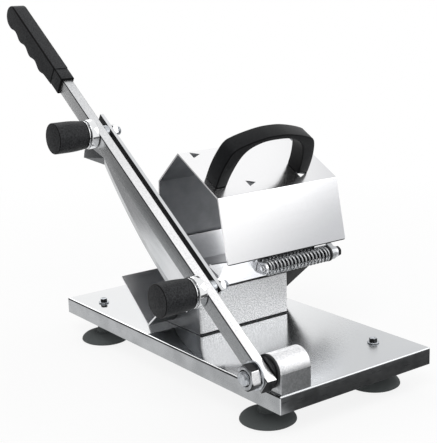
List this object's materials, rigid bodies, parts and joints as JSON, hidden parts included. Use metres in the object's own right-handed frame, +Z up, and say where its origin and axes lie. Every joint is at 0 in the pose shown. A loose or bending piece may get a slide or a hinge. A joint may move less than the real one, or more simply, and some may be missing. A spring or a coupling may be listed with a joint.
{
  "type": "hand-levered slicer",
  "caption": "Benchtop lever slicer: a blade on a pivoting arm passes a V trough; a sprung press cover with a bow handle slides along a rod and lifts.",
  "frame": {"origin": "centre of the bounding box in X and Y, on the plane of the suction cups' soles", "axes": "+Y along the base tray's long edge, from the pivot end towards the grip's side; +X along the trough, from the blade to the trough's rear; +Z up"},
  "size_m": [0.2564, 0.4046, 0.3313],
  "materials": {
    "black_nylon": "matt nylon",
    "black_plastic": "satin moulded black plastic",
    "brass": "turned brass",
    "bronze": "sintered bronze",
    "chrome": "bright chrome",
    "dark_steel": "black oxide",
    "grey_rubber": "dark grey rubber",
    "ground_steel": "fine ground steel",
    "polished_steel": "mirror polished stainless steel",
    "satin_steel": "matt brushed stainless steel",
    "zinc": "bright zinc plate"
  },
  "bodies": {
    "frame": {"base_plate": "polished_steel", "stand_column": "satin_steel", "feed_trough": "polished_steel", "cover_rest_ledge": "satin_steel", "pivot_housing": "polished_steel", "housing_screw_1": "zinc", "housing_screw_2": "zinc", "pivot_bush_front": "bronze", "pivot_bush_rear": "bronze", "thrust_washer": "black_nylon", "rod_lug_front": "satin_steel", "rod_lug_rear": "satin_steel", "guide_rod": "polished_steel", "rod_nut": "dark_steel", "return_spring": "zinc", "stand_screw_1": "zinc", "stand_screw_2": "zinc", "stand_screw_3": "zinc", "stand_screw_4": "zinc", "suction_foot_front_left": "grey_rubber", "foot_screw_front_left": "dark_steel", "suction_foot_front_right": "grey_rubber", "foot_screw_front_right": "dark_steel", "suction_foot_rear_left": "grey_rubber", "foot_screw_rear_left": "dark_steel", "suction_foot_rear_right": "grey_rubber", "foot_screw_rear_right": "dark_steel"},
    "cutting_arm": {"lever_arm": "ground_steel", "hand_grip": "black_plastic", "blade": "ground_steel", "pivot_shaft": "zinc", "shaft_clip": "dark_steel", "pivot_washer_inner": "zinc", "pivot_washer_outer": "zinc", "pivot_nut": "chrome", "clamp_stud_lower": "zinc", "clamp_nut_lower": "chrome", "blade_spacer_lower": "zinc", "collar_lower": "chrome", "knob_ring_lower": "chrome", "clamp_stud_upper": "zinc", "clamp_nut_upper": "chrome", "blade_spacer_upper": "zinc", "collar_upper": "chrome", "knob_ring_upper": "chrome"},
    "knob_lower": {"knob_lower": "black_plastic", "knob_insert_lower": "brass"},
    "knob_upper": {"knob_upper": "black_plastic", "knob_insert_upper": "brass"},
    "rod_slider": {"slide_bush": "black_nylon"},
    "press_cover": {"press_cover": "polished_steel", "cover_knuckle": "satin_steel", "bow_handle": "black_plastic", "bow_screw_1": "zinc", "bow_screw_2": "zinc"}
  },
  "joints": [
    {"name": "arm_swing", "type": "hinge", "parent": "frame", "child": "cutting_arm", "pos_m": [-0.07485, -0.18702, 0.0544], "axis": [1, 0, 0], "range_deg": [-15.5, 50]},
    {"name": "knob_lower_turn", "type": "hinge", "parent": "cutting_arm", "child": "knob_lower", "pos_m": [-0.07485, -0.11504, 0.10537], "axis": [1, 0, 0], "continuous": true},
    {"name": "knob_upper_turn", "type": "hinge", "parent": "cutting_arm", "child": "knob_upper", "pos_m": [-0.07485, 0.04411, 0.21805], "axis": [1, 0, 0], "continuous": true},
    {"name": "cover_slide", "type": "slide", "parent": "frame", "child": "rod_slider", "axis": [-1, 0, 0], "range_m": [0, 0.032], "stiffness_N_per_m": 180, "springref_m": -0.012, "deforming": ["return_spring"]},
    {"name": "cover_lift", "type": "hinge", "parent": "rod_slider", "child": "press_cover", "pos_m": [-0.07485, -0.06082, 0.0913], "axis": [1, 0, 0], "range_deg": [0, 80]}
  ]
}
